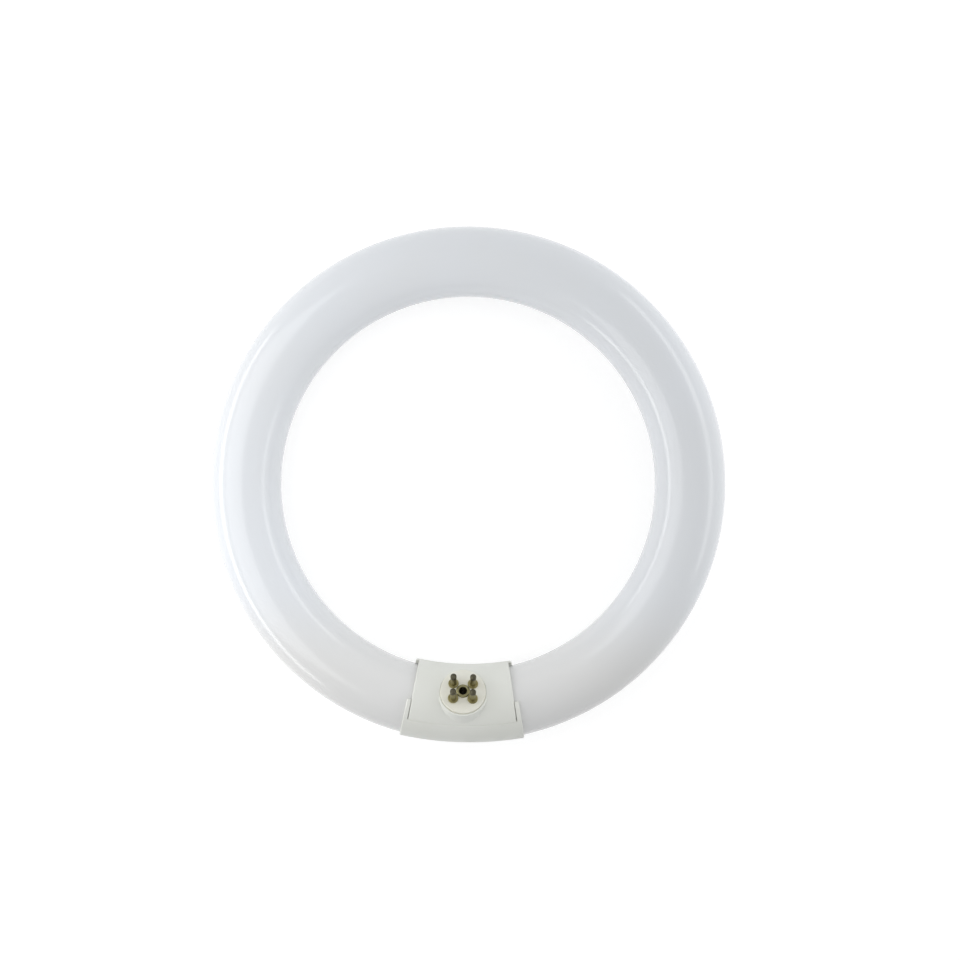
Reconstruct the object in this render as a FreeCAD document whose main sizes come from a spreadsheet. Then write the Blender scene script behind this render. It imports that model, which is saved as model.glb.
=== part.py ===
"""Circular fluorescent lamp: a bent glass tube whose two sealed ends meet in a four-pin plastic base.

The origin is the centre of the ring, the ring lies in the XY plane and the base is at -Y.
The pins lean from +Z towards the middle of the ring. All lengths are millimetres, all angles degrees.
"""

import FreeCAD, Part
import math
import os
import re

import Sketcher

VECTOR = FreeCAD.Vector
SIDES = (("left", "0 - "), ("right", "0 + "))
HOLLOW = "hollow"
SAME_LENGTH = 1e-4

# Driving sizes, each with the reason for it
SIZES = {
    "ring_diameter": (216.0, "outside of the glass ring"),
    "tube_diameter": (29.0, "outside of the glass tube"),
    "tube_end": (17.0, "from the middle of the base to where the full tube ends"),
    "shoulder": (4.5, "rounding of each closed tube end, and its length"),
    "flare_mouth_radius": (8.4, "mouth of the funnel in each tube end"),
    "flare_floor_radius": (4.4, "bottom of that funnel"),
    "flare_depth": (10.5, "depth of that funnel"),
    "exhaust_radius": (2.1, "sealed exhaust stub in the funnel"),
    "exhaust_reach": (3.0, "how far the stub stands out of the funnel"),
    "shell_step": (1.7, "outside of the base above the outside of the tube"),
    "shell_shift": (1.1, "from the tube's middle line inwards to the base's middle"),
    "bend_shift": (27.6, "from the ring's centre back to the centre that the base bends around"),
    "base_length": (46.5, "length of the base along its own bend"),
    "cap_setback": (1.7, "each end of the front shell, back from the end of the base"),
    "cap_flare": (9.0, "turn of those ends away from parallel"),
    "collar_rise": (31.0, "wrap of the rear shell's end collars beyond the joint, around the base"),
    "collar_gap": (0.17, "between a collar and the end of the front shell, at the base's middle"),
    "shell_wall": (1.5, "wall of the two base shells"),
    "mouth_thickness": (2.0, "end wall that grips the tube at each mouth"),
    "mouth_round": (0.6, "rounding of the outer edge of the rear shell's mouths"),
    "cap_round": (0.6, "rounding of the front shell's ends"),
    "round_share": (0.85, "largest share of a mouth's wall that its rounding may take"),
    "tube_clearance": (0.15, "play between tube and shells"),
    "end_clearance": (0.9, "room inwards of the closed tube ends"),
    "lean_angle": (34.0, "lean of the pins from upright towards the ring's middle"),
    "parting_drop": (7.2, "from the base's crown down to the joint of the shells"),
    "parting_edge": (0.25, "bevel of both shells along their joint"),
    "lip_height": (1.2, "tongue of the front shell below the joint"),
    "lip_thickness": (0.7, "thickness of that tongue"),
    "platform_wall": (3.0, "wall under the flat floor and over the flat ceiling in the base"),
    "pattern_offset": (1.7, "from the base's middle outwards to the pin pattern"),
    "boss_rim": (0.75, "width of the raised rim around the pin carrier"),
    "boss_drop": (0.3, "top of the boss below the base's crown"),
    "boss_draft": (9.0, "slope of the boss's side"),
    "boss_foot_rise": (0.5, "from the joint of the shells up to the boss's foot"),
    "boss_round": (0.4, "rounding of the boss's rim"),
    "seat_depth": (0.7, "recess in the boss that the carrier sits in"),
    "seat_ledge": (2.4, "ledge of the front shell under the carrier's disc"),
    "carrier_thickness": (1.5, "visible disc of the pin carrier"),
    "carrier_round": (0.4, "rounding of its rim"),
    "spigot_margin": (0.1, "neck of the carrier beyond the rolled ends of the pins"),
    "spigot_length": (2.8, "length of that neck"),
    "carrier_clearance": (0.1, "play between carrier and front shell"),
    "pin_spacing_along": (7.92, "pins apart along the tube"),
    "pin_spacing_across": (6.35, "pins apart across the tube"),
    "pin_radius": (1.2, "outside of a contact pin"),
    "pin_wall": (0.45, "wall of a contact pin"),
    "pin_length": (7.6, "pin above the carrier"),
    "pin_round": (0.25, "rounding of the pin's tip"),
    "collar_overhang": (0.9, "collar of a pin on the carrier, beyond the pin"),
    "collar_height": (0.5, "height of that collar"),
    "tail_overhang": (0.6, "rolled lower end of a pin, beyond the pin"),
    "tail_height": (0.4, "height of that end"),
    "solder_plug": (1.8, "solder inside the tip"),
    "solder_dome": (0.5, "solder above the tip"),
    "head_gap": (0.125, "between the clamping eyelet's head and the collars of the pins"),
    "head_overhang": (0.85, "heads of the eyelet beyond its outside"),
    "eyelet_wall": (0.35, "wall of the eyelet"),
    "eyelet_head_height": (0.6, "height of both rolled heads"),
    "eyelet_lip": (0.2, "rounding into the bore"),
    "eyelet_clearance": (0.1, "play around the eyelet"),
    "recess_depth": (1.2, "recess for the lower head, from the base's lowest line"),
    "recess_clearance": (0.7, "room around the lower head"),
    "lead_radius": (0.3, "lead wire"),
    "lead_bend_radius": (2.5, "bend of a lead wire"),
    "lead_gap": (0.8, "between a lead wire and the exhaust stub"),
    "lead_clearance": (0.1, "play between a lead wire and the glass"),
}

# Lengths and angles that follow from the driving sizes
WORKED = {
    "half_turn": "180",
    "tube_radius": "tube_diameter / 2",
    "tube_centre": "(ring_diameter - tube_diameter) / 2",
    "seal_angle": "asin(tube_end / tube_centre) / 1 deg",
    "tube_end_radius": "tube_centre * cos(seal_angle)",
    "funnel_floor": "flare_depth - shoulder",
    "stub_tip": "0 - shoulder - exhaust_reach",
    "shell_radius": "tube_radius + shell_step",
    "shell_centre": "tube_centre - shell_shift",
    "shell_bend": "shell_centre + bend_shift",
    "cap_length": "base_length - 2 * cap_setback",
    "shell_angle": "base_length / shell_bend * half_turn / pi",
    "mouth_middle": "sqrt((shell_bend * sin(shell_angle / 2)) ^ 2"
    " + (shell_bend * cos(shell_angle / 2) - bend_shift) ^ 2)",
    "mouth_wall": "mouth_middle + shell_radius - tube_centre - bore_radius",
    "cavity_radius": "shell_radius - shell_wall",
    "parting_height": "shell_radius - parting_drop",
    "platform_height": "shell_radius - platform_wall",
    "lip_radius": "cavity_radius + lip_thickness",
    "rebate_radius": "lip_radius + tube_clearance",
    "lip_bottom": "parting_height - lip_height",
    "rebate_bottom": "lip_bottom - tube_clearance",
    "rear_cavity_angle": "shell_angle - 2 * mouth_thickness / shell_bend * half_turn / pi",
    "front_cavity_angle": "2 * asin((cap_length / 2 - mouth_thickness) / shell_bend) / 1 deg",
    "mouth_reach": "shell_bend * tan(shell_angle / 2)",
    "collar_start": "atan((cap_length / 2 + collar_gap) / shell_bend) / 1 deg",
    "collar_angle": "shell_angle / 2 - collar_start",
    "collar_foot": "acos((parting_height - 2 * parting_edge) / shell_radius) / 1 deg",
    "collar_top": "acos(parting_height / shell_radius) / 1 deg - collar_rise",
    "collar_inside": "cavity_radius - shell_wall",
    "bore_radius": "tube_radius + tube_clearance",
    "bore_start": "seal_angle - (shoulder + end_clearance) / tube_centre * half_turn / pi",
    "pin_circle": "sqrt(pin_spacing_along ^ 2 + pin_spacing_across ^ 2) / 2",
    "pin_bore": "pin_radius - pin_wall",
    "collar_radius": "pin_radius + collar_overhang",
    "tail_radius": "pin_radius + tail_overhang",
    "spigot_radius": "pin_circle + tail_radius + spigot_margin",
    "carrier_radius": "spigot_radius + seat_ledge",
    "seat_radius": "carrier_radius + carrier_clearance",
    "hole_radius": "spigot_radius + carrier_clearance",
    "boss_radius": "seat_radius + boss_rim",
    "boss_height": "shell_radius - boss_drop",
    "boss_foot": "parting_height + boss_foot_rise",
    "boss_foot_radius": "boss_radius + (boss_height - boss_foot) * tan(boss_draft)",
    "seat_height": "boss_height - seat_depth",
    "face_height": "seat_height + carrier_thickness",
    "spigot_bottom": "seat_height - spigot_length",
    "tip_height": "face_height + pin_length",
    "eyelet_head_radius": "pin_circle - collar_radius - head_gap",
    "eyelet_radius": "eyelet_head_radius - head_overhang",
    "eyelet_bore": "eyelet_radius - eyelet_wall",
    "eyelet_hole": "eyelet_radius + eyelet_clearance",
    "recess_level": "recess_depth - shell_radius",
    "recess_radius": "eyelet_head_radius + recess_clearance",
    "solder_radius": "pin_radius - pin_round",
    "dome_radius": "(solder_radius ^ 2 + solder_dome ^ 2) / (2 * solder_dome)",
    "lead_spread": "exhaust_radius + lead_gap + lead_radius",
    "lead_sag": "tube_end_radius + (tube_end - pin_spacing_along / 2) * tan(seal_angle) - shell_centre",
    "lead_corner_height": "0 - lead_sag * sin(lean_angle)",
    "beyond": "shell_wall",
}


def formula(text):
    """Write a formula of plain words as one that names the sheet's cells."""

    def fill(found):
        word = found.group()
        if word in WORKED:
            return "(" + formula(WORKED[word]) + ")"
        return "sizes." + word if word in SIZES else word

    return re.sub(r"[a-z_]+", fill, text)


def chord(radius, height):
    """Half the width of a circle at a height above its centre."""
    return "sqrt((" + radius + ") ^ 2 - (" + height + ") ^ 2)"


def minus(text):
    """The same length on the other side of the origin."""
    return "0 - (" + text + ")"


def make_sheet(document):
    """Fill the spreadsheet with the driving sizes."""
    sheet = document.addObject("Spreadsheet::Sheet", "sizes")
    for row, (name, (number, note)) in enumerate(SIZES.items(), start=1):
        sheet.set("A%d" % row, name)
        sheet.set("B%d" % row, str(number))
        sheet.set("C%d" % row, note)
        sheet.setAlias("B%d" % row, name)
    document.recompute()
    return sheet


def size(text):
    """The number that a formula gives with the sheet's present sizes."""
    return float(FreeCAD.ActiveDocument.getObject("sizes").evalExpression(formula(text)))


def origin_feature(body, role):
    """One of the body's own planes or axes."""
    return next(item for item in body.Origin.OriginFeatures if item.Role == role)


def new_body(document, name, x="0", y="0", z="0", lean="0"):
    """A body with its own name, at a place and a lean about X that follow the sheet."""
    body = document.addObject("PartDesign::Body", name)
    body.Label = name
    body.Placement = FreeCAD.Placement(VECTOR(), FreeCAD.Rotation(VECTOR(1, 0, 0), -1))
    body.setExpression("Placement.Base.x", formula(x))
    body.setExpression("Placement.Base.y", formula(y))
    body.setExpression("Placement.Base.z", formula(z))
    body.setExpression("Placement.Rotation.Angle", formula(lean))
    return body


def pattern_body(document, name, along="0", across="0"):
    """A body whose Z axis is parallel to the pins, from the pin pattern's middle."""
    outwards = "(pattern_offset - (" + across + "))"
    return new_body(
        document,
        name,
        x=along,
        y=minus("shell_centre + " + outwards + " * cos(lean_angle)"),
        z=outwards + " * sin(lean_angle)",
        lean=minus("lean_angle"),
    )


def new_sketch(body, name, role, x="0", y="0", turn="0"):
    """A sketch on one of the body's planes, shifted and turned in that plane."""
    sketch = body.newObject("Sketcher::SketchObject", name)
    plane = body.getObject(role) or origin_feature(body, role)
    sketch.AttachmentSupport = [(plane, "")]
    sketch.MapMode = "FlatFace"
    sketch.setExpression("AttachmentOffset.Base.x", formula(x))
    sketch.setExpression("AttachmentOffset.Base.y", formula(y))
    sketch.setExpression("AttachmentOffset.Rotation.Angle", formula(turn))
    return sketch


def bind(sketch, kind, where, text):
    """A dimension of the sketch that follows a formula."""
    index = sketch.addConstraint(Sketcher.Constraint(kind, *where, size(text)))
    sketch.setExpression("Constraints[%d]" % index, formula(text))


def arc_between(start, end, radius, hollow):
    """The shorter arc between two points, and which of its ends is at the start."""
    middle = (start + end) / 2
    half = (end - start) / 2
    left = VECTOR(-half.y, half.x, 0).normalize()
    rise = math.sqrt(max(radius**2 - half.Length**2, 0.0))
    centre = middle + left * (-rise if hollow else rise)
    first, last = (end, start) if hollow else (start, end)
    begin = math.atan2(first.y - centre.y, first.x - centre.x)
    finish = math.atan2(last.y - centre.y, last.x - centre.x)
    if finish < begin:
        finish += 2 * math.pi
    circle = Part.Circle(centre, VECTOR(0, 0, 1), radius)
    return Part.ArcOfCircle(circle, begin, finish), (2 if hollow else 1)


def draw_outline(sketch, corners):
    """Close an outline, counterclockwise, through corners that all follow the sheet.

    A corner is its x and y, then a radius where an arc leads on to the next corner, then HOLLOW
    where that arc is hollow.
    """
    points = [VECTOR(size(corner[0]), size(corner[1]), 0) for corner in corners]
    starts = []
    for index, corner in enumerate(corners):
        start, end = points[index], points[(index + 1) % len(points)]
        if len(corner) == 2:
            edge, start_end = Part.LineSegment(start, end), 1
        else:
            edge, start_end = arc_between(start, end, size(corner[2]), HOLLOW in corner)
        starts.append((sketch.addGeometry(edge), start_end))
    for index, corner in enumerate(corners):
        edge, start_end = starts[index]
        following, following_end = starts[(index + 1) % len(starts)]
        sketch.addConstraint(
            Sketcher.Constraint("Coincident", edge, 3 - start_end, following, following_end)
        )
        bind(sketch, "DistanceX", (-1, 1, edge, start_end), corner[0])
        bind(sketch, "DistanceY", (-1, 1, edge, start_end), corner[1])
        if len(corner) > 2:
            bind(sketch, "Radius", (edge,), corner[2])


def draw_circle(sketch, x, y, radius):
    """A circle whose centre and radius follow the sheet."""
    circle = Part.Circle(VECTOR(size(x), size(y), 0), VECTOR(0, 0, 1), size(radius))
    edge = sketch.addGeometry(circle)
    bind(sketch, "DistanceX", (-1, 1, edge, 3), x)
    bind(sketch, "DistanceY", (-1, 1, edge, 3), y)
    bind(sketch, "Radius", (edge,), radius)


def turn_profile(body, kind, name, sketch, axis, angle="360"):
    """Revolve a sketch about an axis, to both sides of its plane, to add or to cut."""
    feature = body.newObject("PartDesign::" + kind, name)
    feature.Profile = sketch
    feature.ReferenceAxis = axis
    feature.Midplane = True
    feature.setExpression("Angle", formula(angle))
    return feature


def turn_about_bend(body, kind, name, sketch, angle):
    """Sweep a section along the base, about the axis that the base bends around."""
    return turn_profile(body, kind, name, sketch, (origin_feature(body, "Z_Axis"), [""]), angle)


def turn_upright(body, kind, name, sketch, angle="360"):
    """Revolve a profile about the upright axis of its own sketch."""
    return turn_profile(body, kind, name, sketch, (sketch, ["V_Axis"]), angle)


def turned_piece(body, corners):
    """A turned piece: one profile revolved about the body's Z axis."""
    sketch = new_sketch(body, body.Name + "_profile", "XZ_Plane")
    draw_outline(sketch, corners)
    return turn_upright(body, "Revolution", body.Name + "_turned", sketch)


def make_glass_tube(document):
    """The glass ring, filled, with two closed ends that each hold a funnel and an exhaust stub."""
    body = new_body(document, "glass_tube")
    section = new_sketch(body, "tube_section", "YZ_Plane")
    draw_circle(section, "tube_centre", "0", "tube_radius")
    turn_about_bend(body, "Revolution", "ring", section, "360 - 2 * seal_angle")

    def end_sketch(name, corners):
        sketch = new_sketch(
            body, name, "XY_Plane", x="tube_end", y=minus("tube_end_radius"), turn="seal_angle"
        )
        draw_outline(sketch, corners)
        return sketch

    def about_tube(kind, name, sketch):
        return turn_profile(body, kind, name, sketch, (sketch, ["H_Axis"]))

    shoulder = end_sketch(
        "shoulder_profile",
        [
            (minus("shoulder"), "0"),
            ("0", "0"),
            ("0", "tube_radius", "shoulder"),
            (minus("shoulder"), "tube_radius - shoulder"),
        ],
    )
    closed_end = about_tube("Revolution", "closed_end", shoulder)
    funnel = end_sketch(
        "funnel_profile",
        [
            (minus("shoulder + beyond"), "0"),
            ("funnel_floor", "0"),
            ("funnel_floor", "flare_floor_radius"),
            (minus("shoulder"), "flare_mouth_radius"),
            (minus("shoulder + beyond"), "flare_mouth_radius"),
        ],
    )
    flare = about_tube("Groove", "flare", funnel)
    stub = end_sketch(
        "stub_profile",
        [
            ("stub_tip", "0"),
            ("funnel_floor", "0"),
            ("funnel_floor", "exhaust_radius"),
            ("stub_tip + exhaust_radius", "exhaust_radius", "exhaust_radius"),
        ],
    )
    exhaust = about_tube("Revolution", "exhaust_stub", stub)
    document.recompute()
    other_end = body.newObject("PartDesign::Mirrored", "other_end")
    other_end.Originals = [closed_end, flare, exhaust]
    other_end.MirrorPlane = (origin_feature(body, "YZ_Plane"), [""])
    body.Tip = other_end
    return body


def shell_body(document, name):
    """A body whose Z axis is the axis that the base bends around."""
    return new_body(document, name, y="bend_shift")


def section_sketch(body, name, corners, role="YZ_Plane"):
    """An outline across the base: x runs inwards, y runs along the pins, from the base's middle."""
    sketch = new_sketch(body, name, role, x=minus("shell_bend"), turn=minus("lean_angle"))
    draw_outline(sketch, corners)
    return sketch


def turned_plane(body, name, angle):
    """A plane of its own in the body: the one across the base, turned about the upright axis."""
    plane = body.newObject("PartDesign::Plane", name)
    plane.AttachmentSupport = [(origin_feature(body, "YZ_Plane"), "")]
    plane.MapMode = "FlatFace"
    plane.AttachmentOffset = FreeCAD.Placement(VECTOR(), FreeCAD.Rotation(VECTOR(0, 1, 0), 1))
    plane.setExpression("AttachmentOffset.Rotation.Angle", formula(angle))
    return plane.Name


def boss_sketch(body, name, corners):
    """An outline whose upright axis is the middle line of the pin pattern."""
    sketch = new_sketch(
        body,
        name,
        "YZ_Plane",
        x=minus("shell_bend + pattern_offset * cos(lean_angle)"),
        y="pattern_offset * sin(lean_angle)",
        turn=minus("lean_angle"),
    )
    draw_outline(sketch, corners)
    return sketch


def cut_tube_bore(body):
    """The round way for the tube, through both mouths of the base."""
    sketch = new_sketch(body, body.Name + "_bore", "YZ_Plane", x=minus("bend_shift"))
    draw_circle(sketch, "tube_centre", "0", "bore_radius")
    return turn_upright(body, "Groove", body.Name + "_tube_way", sketch, "360 - 2 * bore_start")


def rectangle(left, bottom, right, top):
    """The corners of an upright rectangle."""
    return [(left, bottom), (right, bottom), (right, top), (left, top)]


def depth_in_base(point):
    """How far a point of a shell's body lies from the middle line of the base."""
    return math.hypot(math.hypot(point.x, point.y) - size("shell_bend"), point.z)


def off_mouth(point, reach, turn):
    """How far a point of a shell's body lies from the plane that cuts off its nearer mouth."""
    angle = math.radians(size(turn))
    beside, outwards = abs(point.x) - size(reach), -point.y - size("shell_bend")
    return abs(beside * math.cos(angle) - outwards * math.sin(angle))


def round_mouths(document, body, feature, reach, turn, radius):
    """Round a shell's outer edges at its mouths, as far as the wall there allows."""
    document.recompute()
    names = []
    for index, edge in enumerate(feature.Shape.Edges, start=1):
        first, last = edge.ParameterRange
        points = [edge.valueAt(first), edge.valueAt((first + last) / 2), edge.valueAt(last)]
        depths = [abs(depth_in_base(point) - size("shell_radius")) for point in points]
        if max(depths + [off_mouth(point, reach, turn) for point in points]) < SAME_LENGTH:
            names.append("Edge%d" % index)
    rounding = body.newObject("PartDesign::Fillet", body.Name + "_mouth_round")
    rounding.Base = (feature, names)
    rounding.setExpression("Radius", formula("min(" + radius + "; round_share * mouth_wall)"))
    return rounding


def make_front_shell(document):
    """The shell on the pins' side: a cap with a tongue, a round boss and a stepped hole."""
    body = shell_body(document, "base_front_shell")
    edge_height = "parting_height + parting_edge"
    edge, wide = chord("shell_radius", edge_height), chord("shell_radius", "parting_height")
    flat = wide + " - parting_edge"
    tongue, tongue_end = chord("lip_radius", "parting_height"), chord("lip_radius", "lip_bottom")
    cap = section_sketch(
        body,
        "cap_section",
        [
            (minus(edge), edge_height),
            (minus(flat), "parting_height"),
            (minus(tongue), "parting_height", "lip_radius"),
            (minus(tongue_end), "lip_bottom"),
            (tongue_end, "lip_bottom", "lip_radius"),
            (tongue, "parting_height"),
            (flat, "parting_height"),
            (edge, edge_height, "shell_radius"),
        ],
    )
    turn_about_bend(body, "Revolution", "cap", cap, "2 * shell_angle")
    for name, side in SIDES:
        trim = new_sketch(
            body,
            name + "_trim",
            "XY_Plane",
            x=side + "cap_length / 2",
            y=minus("shell_bend"),
            turn=side + "cap_flare",
        )
        near, far = sorted(("0", side + "base_length"), key=size)
        draw_outline(trim, rectangle(near, minus("2 * shell_radius"), far, "2 * shell_radius"))
        trimmed = body.newObject("PartDesign::Pocket", name + "_end")
        trimmed.Profile = trim
        trimmed.Midplane = True
        trimmed.setExpression("Length", formula("4 * shell_radius"))
    boss = boss_sketch(
        body,
        "boss_profile",
        [
            ("0", "boss_foot"),
            ("boss_foot_radius", "boss_foot"),
            ("boss_radius", "boss_height - boss_round", "boss_round"),
            ("boss_radius - boss_round", "boss_height"),
            ("0", "boss_height"),
        ],
    )
    turn_upright(body, "Revolution", "boss", boss)
    low, room = "lip_bottom - beyond", chord("cavity_radius", "platform_height")
    wide_room = chord("cavity_radius", low)
    cavity = section_sketch(
        body,
        "front_cavity_section",
        [
            (minus(wide_room), low),
            (wide_room, low, "cavity_radius"),
            (room, "platform_height"),
            (minus(room), "platform_height", "cavity_radius"),
        ],
    )
    turn_about_bend(body, "Groove", "front_cavity", cavity, "front_cavity_angle")
    cut_tube_bore(body)
    seat = boss_sketch(
        body,
        "seat_profile",
        [
            ("0", "platform_height - beyond"),
            ("hole_radius", "platform_height - beyond"),
            ("hole_radius", "seat_height"),
            ("seat_radius", "seat_height"),
            ("seat_radius", "boss_height + beyond"),
            ("0", "boss_height + beyond"),
        ],
    )
    seat_cut = turn_upright(body, "Groove", "carrier_seat", seat)
    round_mouths(document, body, seat_cut, "cap_length / 2", "cap_flare", "cap_round")
    return body


def collar_outline():
    """The section of an end collar, on the outer side of the base, from below the joint upwards."""

    def corner(radius, angle, *arc):
        return (minus(radius + " * sin(" + angle + ")"), radius + " * cos(" + angle + ")", *arc)

    return [
        corner("shell_radius", "collar_top", "shell_radius"),
        corner("shell_radius", "collar_foot"),
        corner("collar_inside", "collar_foot", "collar_inside", HOLLOW),
        corner("collar_inside", "collar_top"),
    ]


def make_rear_shell(document):
    """The deep shell on the far side: a trough with a rebate, end collars and a recess."""
    body = shell_body(document, "base_rear_shell")
    edge_height = "parting_height - parting_edge"
    edge = chord("shell_radius", edge_height)
    flat = chord("shell_radius", "parting_height") + " - parting_edge"
    trough = section_sketch(
        body,
        "trough_section",
        [
            (minus(edge), edge_height, "shell_radius"),
            ("0", minus("shell_radius"), "shell_radius"),
            (edge, edge_height),
            (flat, "parting_height"),
            (minus(flat), "parting_height"),
        ],
    )
    turn_about_bend(body, "Revolution", "trough", trough, "shell_angle")
    top = "parting_height + beyond"
    wide_room, room = chord("cavity_radius", top), chord("cavity_radius", "platform_height")
    cavity = section_sketch(
        body,
        "rear_cavity_section",
        [
            (minus(wide_room), top, "cavity_radius"),
            (minus("cavity_radius"), "0", "cavity_radius"),
            (minus(room), minus("platform_height")),
            (room, minus("platform_height"), "cavity_radius"),
            ("cavity_radius", "0", "cavity_radius"),
            (wide_room, top),
        ],
    )
    turn_about_bend(body, "Groove", "rear_cavity", cavity, "rear_cavity_angle")
    upper, lower = chord("rebate_radius", top), chord("rebate_radius", "rebate_bottom")
    rebate = section_sketch(
        body,
        "rebate_section",
        [
            (minus(lower), "rebate_bottom"),
            (lower, "rebate_bottom", "rebate_radius"),
            (upper, top),
            (minus(upper), top, "rebate_radius"),
        ],
    )
    turn_about_bend(body, "Groove", "rebate", rebate, "2 * shell_angle")
    plane = turned_plane(body, "collar_plane", "collar_start + collar_angle / 2")
    collar = section_sketch(body, "collar_section", collar_outline(), plane)
    right = turn_about_bend(body, "Revolution", "right_collar", collar, "collar_angle")
    document.recompute()
    left = body.newObject("PartDesign::Mirrored", "left_collar")
    left.Originals = [right]
    left.MirrorPlane = (origin_feature(body, "YZ_Plane"), [""])
    body.Tip = left
    cut_tube_bore(body)
    recess = boss_sketch(
        body,
        "recess_profile",
        [
            ("0", minus("shell_radius + beyond")),
            ("recess_radius", minus("shell_radius + beyond")),
            ("recess_radius", "recess_level"),
            ("eyelet_hole", "recess_level"),
            ("eyelet_hole", "beyond - platform_height"),
            ("0", "beyond - platform_height"),
        ],
    )
    recess_cut = turn_upright(body, "Groove", "eyelet_recess", recess)
    round_mouths(document, body, recess_cut, "mouth_reach", "shell_angle / 2", "mouth_round")
    return body


def pin_places():
    """The four places in the pin pattern: along the tube, then across it."""
    return [
        (along + "pin_spacing_along / 2", across + "pin_spacing_across / 2")
        for across in ("0 + ", "0 - ")
        for along in ("0 - ", "0 + ")
    ]


def make_carrier(document):
    """The round insulating disc that holds the four pins, with a neck through the front shell."""
    body = pattern_body(document, "pin_carrier")
    turned_piece(
        body,
        [
            ("0", "spigot_bottom"),
            ("spigot_radius", "spigot_bottom"),
            ("spigot_radius", "seat_height"),
            ("carrier_radius", "seat_height"),
            ("carrier_radius", "face_height - carrier_round", "carrier_round"),
            ("carrier_radius - carrier_round", "face_height"),
            ("0", "face_height"),
        ],
    )
    holes = new_sketch(body, "carrier_holes", "XY_Plane")
    draw_circle(holes, "0", "0", "eyelet_hole")
    for along, across in pin_places():
        draw_circle(holes, along, across, "pin_radius")
    drilled = body.newObject("PartDesign::Pocket", "carrier_drilled")
    drilled.Profile = holes
    drilled.Midplane = True
    drilled.setExpression("Length", formula("4 * face_height"))
    return body


def make_pin(document, index, along, across):
    """A hollow contact pin with a collar on the carrier and a rolled end under it."""
    body = pattern_body(document, "contact_pin_%d" % index, along, across)
    turned_piece(
        body,
        [
            ("pin_bore", "spigot_bottom - tail_height"),
            ("tail_radius", "spigot_bottom - tail_height"),
            ("tail_radius", "spigot_bottom"),
            ("pin_radius", "spigot_bottom"),
            ("pin_radius", "face_height"),
            ("collar_radius", "face_height"),
            ("collar_radius", "face_height + collar_height"),
            ("pin_radius", "face_height + collar_height"),
            ("pin_radius", "tip_height - pin_round", "pin_round"),
            ("pin_radius - pin_round", "tip_height"),
            ("pin_bore", "tip_height"),
        ],
    )
    return body


def make_solder_tip(document, index, along, across):
    """The solder that closes a pin's tip and holds the lead wire."""
    body = pattern_body(document, "solder_tip_%d" % index, along, across)
    turned_piece(
        body,
        [
            ("0", "tip_height - solder_plug"),
            ("pin_bore", "tip_height - solder_plug"),
            ("pin_bore", "tip_height"),
            ("solder_radius", "tip_height", "dome_radius"),
            ("0", "tip_height + solder_dome"),
        ],
    )
    return body


def make_eyelet(document):
    """The tubular eyelet that clamps the carrier and both shells, with a rolled head at each end."""
    body = pattern_body(document, "clamp_eyelet")
    low, high = "recess_level - eyelet_head_height", "face_height + eyelet_head_height"
    rim = "eyelet_head_radius - eyelet_head_height"
    turned_piece(
        body,
        [
            ("eyelet_bore", low + " + eyelet_lip", "eyelet_lip"),
            ("eyelet_bore + eyelet_lip", low),
            (rim, low, "eyelet_head_height"),
            ("eyelet_head_radius", "recess_level"),
            ("eyelet_radius", "recess_level"),
            ("eyelet_radius", "face_height"),
            ("eyelet_head_radius", "face_height", "eyelet_head_height"),
            (rim, high),
            ("eyelet_bore + eyelet_lip", high, "eyelet_lip"),
            ("eyelet_bore", high + " - eyelet_lip"),
        ],
    )
    return body


def pattern_point(along, across, height):
    """A point of the base: along the tube, inwards across it and up along the pins."""
    lean = math.radians(size("lean_angle"))
    inwards = size(across) - size("pattern_offset")
    rise = size(height)
    y = -size("shell_centre") + inwards * math.cos(lean) + rise * math.sin(lean)
    return VECTOR(size(along), y, rise * math.cos(lean) - inwards * math.sin(lean))


def funnel_point(along, across):
    """Where a lead wire leaves the glass, in the funnel of the tube end on the wire's side."""
    lean, turn = math.radians(size("lean_angle")), math.radians(size("seal_angle"))
    side = math.copysign(1.0, size(along))
    inwards = math.copysign(size("lead_spread"), size(across))
    depth = size("funnel_floor - lead_clearance")
    radius = size("tube_centre") - inwards * math.cos(lean)
    x = radius * math.sin(turn) + depth * math.cos(turn)
    y = -radius * math.cos(turn) + depth * math.sin(turn)
    return VECTOR(side * x, y, -inwards * math.sin(lean))


def make_lead_wire(document, index, along, across):
    """A lead wire from the glass to the solder in a pin: two straight runs and a tangent arc."""
    start = funnel_point(along, across)
    corner = pattern_point(along, across, "lead_corner_height")
    end = pattern_point(along, across, "tip_height - solder_plug")
    back, ahead = (start - corner).normalize(), (end - corner).normalize()
    half_turn = back.getAngle(ahead) / 2
    bend = size("lead_bend_radius")
    reach = bend / math.tan(half_turn)
    middle = corner + (back + ahead).normalize() * (bend / math.sin(half_turn) - bend)
    first, last = corner + back * reach, corner + ahead * reach
    path = Part.Wire(
        [
            Part.LineSegment(start, first).toShape(),
            Part.Arc(first, middle, last).toShape(),
            Part.LineSegment(last, end).toShape(),
        ]
    )
    section = Part.Wire([Part.makeCircle(size("lead_radius"), start, corner - start)])
    wire = document.addObject("Part::Feature", "lead_wire_%d" % index)
    wire.Label = wire.Name
    wire.Shape = path.makePipeShell([section], True, True)
    wire.Placement = FreeCAD.Placement()
    return wire


def build():
    """Make the document and all the sub-parts of the lamp."""
    document = FreeCAD.newDocument("circular_lamp")
    make_sheet(document)
    pieces = [
        make_glass_tube(document),
        make_front_shell(document),
        make_rear_shell(document),
        make_carrier(document),
        make_eyelet(document),
    ]
    for index, place in enumerate(pin_places(), start=1):
        pieces.append(make_pin(document, index, *place))
        pieces.append(make_solder_tip(document, index, *place))
        pieces.append(make_lead_wire(document, index, *place))
    document.recompute()
    return document, pieces


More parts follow.
